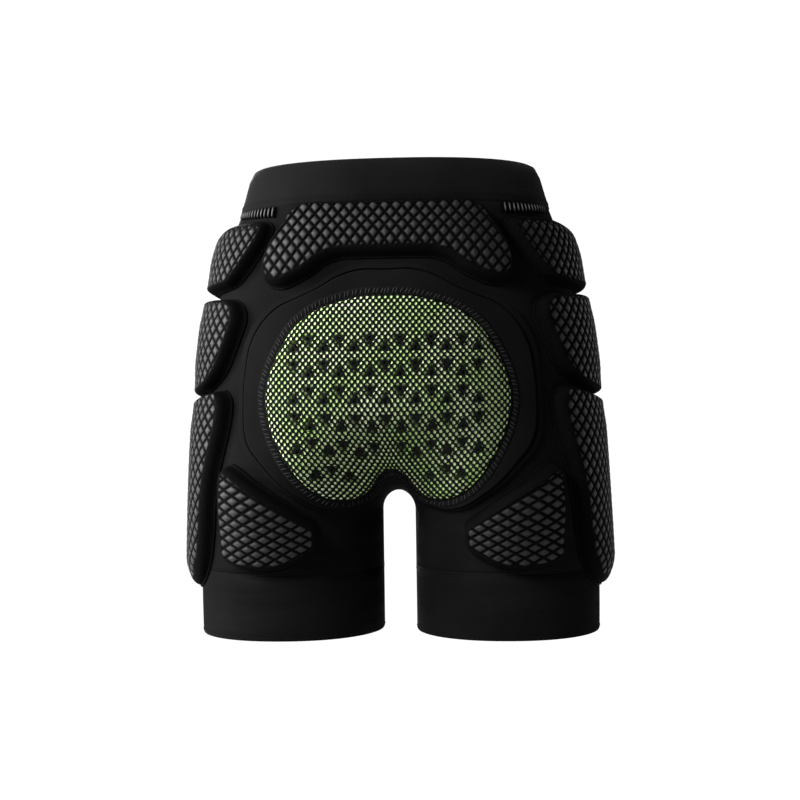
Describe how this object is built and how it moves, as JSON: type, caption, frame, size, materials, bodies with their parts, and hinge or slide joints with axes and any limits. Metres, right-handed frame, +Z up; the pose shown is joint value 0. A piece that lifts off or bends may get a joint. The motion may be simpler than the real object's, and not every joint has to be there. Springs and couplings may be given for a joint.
{
  "type": "padded protective shorts",
  "caption": "Hip pad: stretch shorts with a wide waistband, embossed foam pads at the back, hips and thighs, and a soft green seat pad behind a mesh window.",
  "frame": {"origin": "centre of the waistband ring, halfway up the band", "axes": "+Z up, -Y towards the rear, which is the side in the picture, +X towards the wearer's right"},
  "size_m": [0.3882, 0.2356, 0.4135],
  "materials": {
    "stretch_fabric": "matt black stretch knit",
    "elastic_band": "smooth black woven elastic",
    "embossed_foam": "black cloth-faced foam with a pressed diamond pattern",
    "moulded_panel": "black cloth-faced moulded foam",
    "soft_green_pad": "lime green soft moulded pad"
  },
  "bodies": {
    "root": {"shorts_shell": "stretch_fabric", "leg_cuff_left": "stretch_fabric", "leg_cuff_right": "stretch_fabric", "gather_left": "stretch_fabric", "gather_right": "stretch_fabric", "waistband": "elastic_band", "lumbar_pad": "embossed_foam", "upper_hip_pad_left": "embossed_foam", "upper_hip_pad_right": "embossed_foam", "mid_hip_pad_left": "embossed_foam", "mid_hip_pad_right": "embossed_foam", "outer_thigh_pad_left": "embossed_foam", "outer_thigh_pad_right": "embossed_foam", "rear_thigh_pad_left": "embossed_foam", "rear_thigh_pad_right": "embossed_foam", "seat_panel": "moulded_panel", "seat_pad": "soft_green_pad"}
  },
  "joints": []
}
